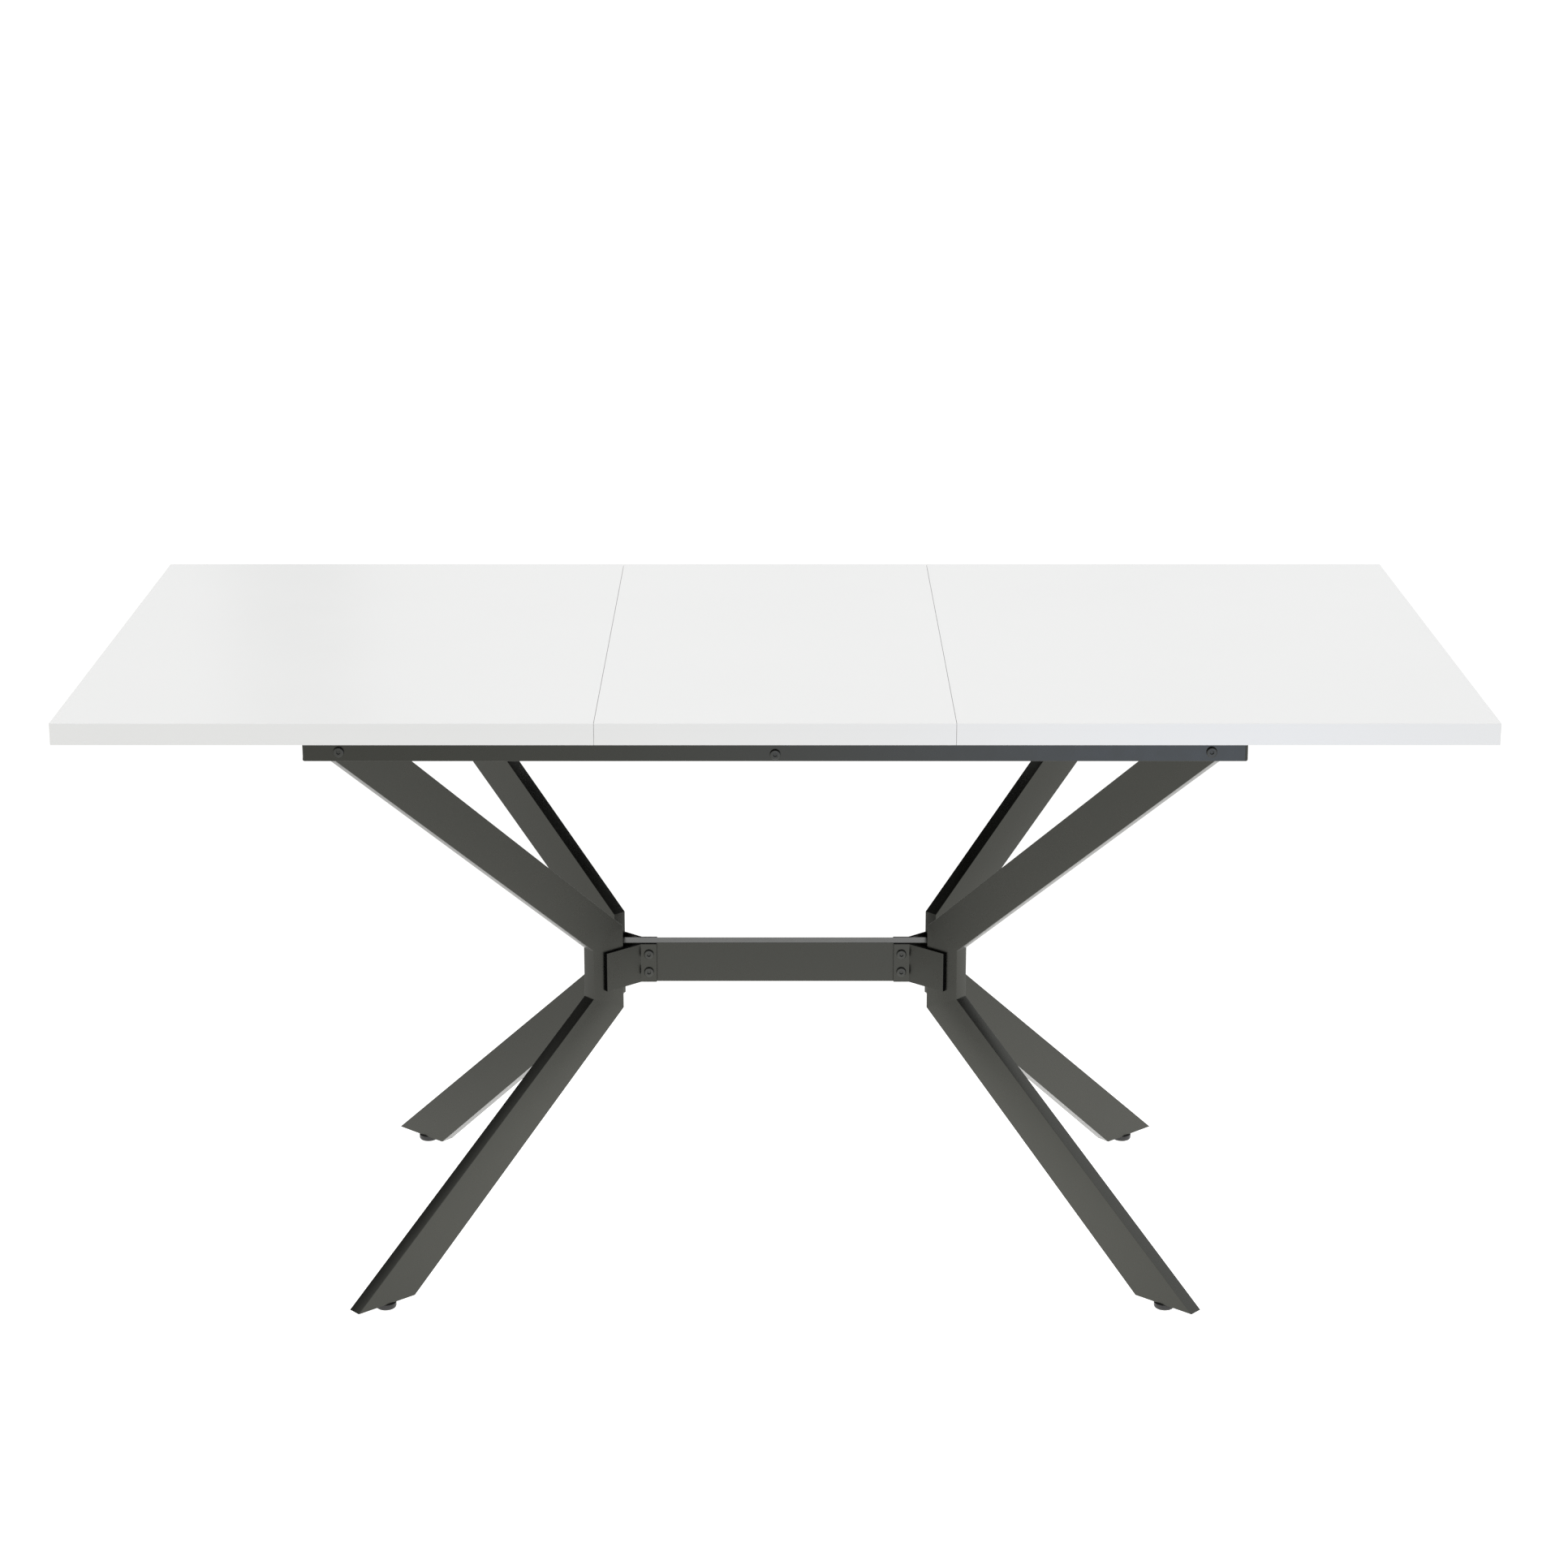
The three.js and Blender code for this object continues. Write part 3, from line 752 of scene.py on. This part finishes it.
def make_screws(steel):
    for side, sign in (("front", -1), ("rear", 1)):
        for which in ("left", "middle", "right"):
            make_screw(f"{side}_{which}_rail_screw", "y", sign, steel)
    for name, _, sign in CORNERS:
        for level in ("upper", "lower"):
            make_screw(f"{name}_{level}_bracket_screw", "y", sign, steel)
        for row in (1, 2):
            make_screw(f"{name}_plate_screw_{row}", "z", -1, steel)


# Legs: a bent flat tube in an upright plane, drawn in (reach outwards, height)

LEG_TOP_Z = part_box("front_left_leg")[1].z
LEG_FOOT_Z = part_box("front_left_leg")[0].z


def arm_reach(height, wall):
    """Reach of an arm's outer and inner side at a height, inset by a wall."""
    upper = height > (LEG_UPPER_KNEE_Z + LEG_LOWER_KNEE_Z) / 2
    knee = LEG_UPPER_KNEE_Z if upper else -LEG_LOWER_KNEE_Z
    level = height if upper else -height
    half = LEG_WAIST_WIDTH / 2
    knee_drop = LEG_WAIST_WIDTH * math.tan(ARM_LEAN / 2)
    outer_lean = ARM_LEAN + ARM_FLARE
    inner_lean = ARM_LEAN - ARM_FLARE
    outer = half + (level - knee) * math.tan(outer_lean) - wall / math.cos(outer_lean)
    inner = -half + (level - knee - knee_drop) * math.tan(inner_lean) + wall / math.cos(inner_lean)
    return outer, inner


def leg_sides(wall, foot_z):
    """The outer and the inner side of the leg as polylines from foot to top, knees rounded."""
    half = LEG_WAIST_WIDTH / 2 - wall
    shift = wall * math.tan(ARM_LEAN / 2)
    knee_drop = LEG_WAIST_WIDTH * math.tan(ARM_LEAN / 2)
    foot = arm_reach(foot_z, wall)
    top = arm_reach(LEG_TOP_Z, wall)
    outer = [
        (foot[0], foot_z),
        (half, LEG_LOWER_KNEE_Z + shift),
        (half, LEG_UPPER_KNEE_Z - shift),
        (top[0], LEG_TOP_Z),
    ]
    inner = [
        (foot[1], foot_z),
        (-half, LEG_LOWER_KNEE_Z - knee_drop + shift),
        (-half, LEG_UPPER_KNEE_Z + knee_drop - shift),
        (top[1], LEG_TOP_Z),
    ]
    rounds = [0, LEG_KNEE_ROUND, LEG_KNEE_ROUND, 0]
    return filleted(outer, rounds, closed=False), filleted(inner, rounds, closed=False)


def leg_section(outer, inner, depth, radius, lean):
    """A ring of (reach, depth place, height) between an outer and an inner side point."""
    outer, inner = Vector(outer), Vector(inner)
    middle = (outer + inner) / 2
    across = (outer - inner).normalized()
    width = (outer - inner).length
    section = rounded_rect(width, depth, radius, steps=6, stretch=1 / math.cos(lean))
    return [(middle.x + across.x * u, v, middle.y + across.y * u) for u, v in section]


def leg_rings(wall, foot_z, radius):
    outer, inner = leg_sides(wall, foot_z)
    depth = LEG_DEPTH - 2 * wall
    rings = []
    for index, (outer_point, inner_point) in enumerate(zip(outer, inner)):
        at_end = index in (0, len(outer) - 1)
        lean = ARM_LEAN if at_end else ARM_LEAN / 2
        rings.append(leg_section(outer_point, inner_point, depth, radius, lean))
    return rings


def glide_reach():
    outer, inner = arm_reach(LEG_FOOT_Z, 0)
    return (outer + inner) / 2 - GLIDE_INSET


def hole_ring(around, radius, height):
    """A ring round the glide's hole whose points face those of the ring around it."""
    middle = glide_reach()
    ring = []
    for reach, depth, _ in around:
        angle = math.atan2(depth, reach - middle)
        ring.append((middle + radius * math.cos(angle), radius * math.sin(angle), height))
    return ring


def leg_point(sign_x, sign_y, point):
    """A place in the table's frame of a (reach, depth place, height) point of a leg."""
    reach, depth, height = point
    along = Vector((sign_x * math.cos(LEG_SPLAY), sign_y * math.sin(LEG_SPLAY)))
    away = Vector((sign_x * math.sin(LEG_SPLAY), -sign_y * math.cos(LEG_SPLAY)))
    centre = Vector((sign_x * LEG_WAIST_X, sign_y * LEG_WAIST_Y))
    place = centre + along * reach + away * depth
    return (place.x, place.y, height)


def make_leg(name, sign_x, sign_y, coat):
    outside = leg_rings(0, LEG_FOOT_Z, LEG_CORNER)
    inside = leg_rings(LEG_WALL, LEG_FOOT_Z + LEG_END_WALL, BORE_CORNER)
    rings = [hole_ring(outside[0], GLIDE_HOLE, LEG_FOOT_Z)]
    rings += outside
    rings += reversed(inside)
    rings.append(hole_ring(inside[0], GLIDE_HOLE, LEG_FOOT_Z + LEG_END_WALL))
    placed = [[leg_point(sign_x, sign_y, point) for point in ring] for ring in rings]
    node = name + "_leg"
    make_piece(node + "_tube", placed, coat, "frame", [node],
               looped=True, smooth=50, flat=False)


# Leg plates

def make_leg_plate(name, coat):
    node = name + "_leg_plate"
    rims = (CUT_RIM, CUT_RIM)
    rounded_block(node + "_flange", node, "z", PLATE_CORNER, rims, coat, "frame")


# Levelling feet

def glide_profile(radius, pad_top):
    """(radius, height) of the pad: a flat sole, a round lower edge and a small upper one."""
    profile = [(radius - GLIDE_ROUND - GLIDE_SOLE_INSET, 0.0)]
    for angle in quarter_turn(6):
        profile.append((
            radius - GLIDE_ROUND * (1 - math.sin(angle)),
            GLIDE_ROUND * (1 - math.cos(angle)),
        ))
    for angle in quarter_turn(3):
        profile.append((
            radius - GLIDE_RIM * (1 - math.cos(angle)),
            pad_top - GLIDE_RIM * (1 - math.sin(angle)),
        ))
    return profile


def make_glide(name, plastic):
    """A round pad on a threaded stem, whose thread runs round it as a helix."""
    node = name + "_levelling_foot"
    low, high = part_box(node)
    centre = (low + high) / 2
    radius = (high.x - low.x) / 2
    pad_top = LEG_FOOT_Z - TOUCH_GAP
    steps = 48
    angles = [2 * math.pi * step / steps for step in range(steps)]
    rings = []
    for reach, height in glide_profile(radius, pad_top):
        ring = []
        for angle in angles:
            x = centre.x + reach * math.cos(angle)
            ring.append((x, centre.y + reach * math.sin(angle), height))
        rings.append(ring)
    rows = int((high.z - pad_top) / THREAD_PITCH * THREAD_STEPS)
    for row in range(rows + 1):
        height = pad_top + (high.z - pad_top) * row / rows
        faded = min(1.0, (high.z - height) / THREAD_PITCH, (height - pad_top) / THREAD_PITCH)
        ring = []
        for angle in angles:
            turn = (height / THREAD_PITCH - angle / (2 * math.pi)) % 1
            groove = THREAD_DEPTH * abs(2 * turn - 1) * faded
            reach = STEM_RADIUS - STEM_CLEARANCE - groove
            x = centre.x + reach * math.cos(angle)
            ring.append((x, centre.y + reach * math.sin(angle), height))
        rings.append(ring)
    make_piece(node + "_glide", rings, plastic, name + "_foot", [node], smooth=50)


# Stretcher and its brackets

def make_stretcher(coat):
    rounded_tube("stretcher_beam_tube", "stretcher_beam", "x", TUBE_CORNER, TUBE_WALL,
                 coat, "frame")


def bracket_outline(beam_face, tab_end):
    """In plan, for the corner of +X and +Y: a tab on the beam's face, a bend and a wing."""
    along = Vector((math.cos(LEG_SPLAY), math.sin(LEG_SPLAY)))
    away = Vector((-math.sin(LEG_SPLAY), math.cos(LEG_SPLAY)))
    waist = Vector((LEG_WAIST_X, LEG_WAIST_Y))

    def on_wing(offset, y):
        place = waist + away * (LEG_DEPTH / 2 + TOUCH_GAP + offset)
        return place + along * ((y - place.y) / along.y)

    inner_y = beam_face
    outer_y = beam_face + TOUCH_GAP + BRACKET_THICKNESS
    outer_bend = on_wing(BRACKET_THICKNESS, outer_y)
    inner_bend = on_wing(-TOUCH_GAP, inner_y)
    outer_end = outer_bend + along * BRACKET_WING
    inner_end = outer_end - away * (BRACKET_THICKNESS + TOUCH_GAP)
    points = [(tab_end, inner_y), tuple(inner_bend), tuple(inner_end),
              tuple(outer_end), tuple(outer_bend), (tab_end, outer_y)]
    cut, inner_round = SHEET_CORNER, BRACKET_BEND + BRACKET_THICKNESS
    return filleted(points, [cut, inner_round, cut, cut, BRACKET_BEND, cut])


def make_bracket(name, sign_x, sign_y, coat, edge):
    node = name + "_bracket"
    low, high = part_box(node)
    beam_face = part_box("stretcher_beam")[1].y
    tab_end = low.x if sign_x > 0 else -high.x
    outline = bracket_outline(beam_face, tab_end)
    rings = prism_rings(outline, "z", low.z, high.z, CUT_RIM, CUT_RIM)
    placed = [[(sign_x * x, sign_y * y, z) for x, y, z in ring] for ring in rings]
    piece = make_piece(node + "_plate", placed, coat, "frame", [node])
    piece.data.materials.append(edge)
    along = Vector((sign_x * math.cos(LEG_SPLAY), sign_y * math.sin(LEG_SPLAY), 0))
    # End faces, and top and bottom faces, take the near-black painted shade
    for face in piece.data.polygons:
        at_end = abs(face.normal.dot(along)) > FACING or abs(face.normal.x) > FACING
        if at_end or abs(face.normal.z) > LEANING:
            face.material_index = 1


# Slides

def make_slide(name, sign_x, sign_y, zinc):
    """A C channel on the rail and a runner in it, whose flange is screwed under the top."""
    half = "left_top" if sign_x < 0 else "right_top"
    make_channel(name, sign_y, zinc)
    make_runner(name, sign_y, half, zinc)


def make_channel(name, sign_y, zinc):
    node = name + "_slide_channel"
    low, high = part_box(node)
    depth = high.y - low.y
    back = high.y if sign_y > 0 else low.y
    wall = CHANNEL_WALL
    height = high.z - low.z
    shape = [(0, 0), (depth, 0), (depth, wall), (wall, wall),
             (wall, height - wall), (depth, height - wall), (depth, height), (0, height)]
    cut, bend = SHEET_CORNER, CHANNEL_BEND
    outline = filleted(shape, [bend + wall, cut, cut, bend, bend, cut, cut, bend + wall])
    placed = [(back - sign_y * u, low.z + v) for u, v in outline]
    if sign_y > 0:
        placed.reverse()
    rings = prism_rings(placed, "x", low.x, high.x, CUT_RIM / 2, CUT_RIM / 2)
    make_piece(node + "_profile", rings, zinc, "frame", [node])


def make_runner(name, sign_y, half, zinc):
    node = name + "_slide_runner"
    low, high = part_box(node)
    channel_low, channel_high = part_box(name + "_slide_channel")
    back = high.y if sign_y > 0 else low.y
    depth = high.y - low.y
    mouth = channel_low.y if sign_y > 0 else channel_high.y
    web_in = abs(back - mouth) + RUNNER_TONGUE_CLEARANCE
    web_out = web_in + RUNNER_WALL
    top = high.z - low.z
    tongue = channel_high.z - CHANNEL_WALL - RUNNER_TONGUE_CLEARANCE - low.z
    shape = [(0, 0), (web_out, 0), (web_out, top - RUNNER_WALL), (depth, top - RUNNER_WALL),
             (depth, top), (web_in, top), (web_in, tongue), (0, tongue)]
    cut, bend = SHEET_CORNER, RUNNER_BEND
    radii = [cut, bend, bend, cut, cut, bend, cut, cut]
    placed = [(back - sign_y * u, low.z + v) for u, v in filleted(shape, radii)]
    if sign_y > 0:
        placed.reverse()
    rings = prism_rings(placed, "x", low.x, high.x, CUT_RIM / 2, CUT_RIM / 2)
    make_piece(node + "_profile", rings, zinc, half, [node])


def build():
    make_camera()
    make_floor()
    make_world()
    make_softbox()
    coat = graphite_coat()
    steel = screw_steel()
    black = black_plastic()
    zinc = zinc_steel()
    edge = painted_edge_shade()
    make_panels(white_lacquer(), painted_shade_underside())
    make_rails(coat, graphite_plastic())
    make_cross_bars(coat)
    make_stretcher(coat)
    make_screws(steel)
    for name, sign_x, sign_y in CORNERS:
        make_leg(name, sign_x, sign_y, coat)
        make_leg_plate(name, coat)
        make_glide(name, black)
        make_bracket(name, sign_x, sign_y, coat, edge)
        make_slide(name, sign_x, sign_y, zinc)


bpy.context.scene.view_settings.view_transform = "Standard"
build()
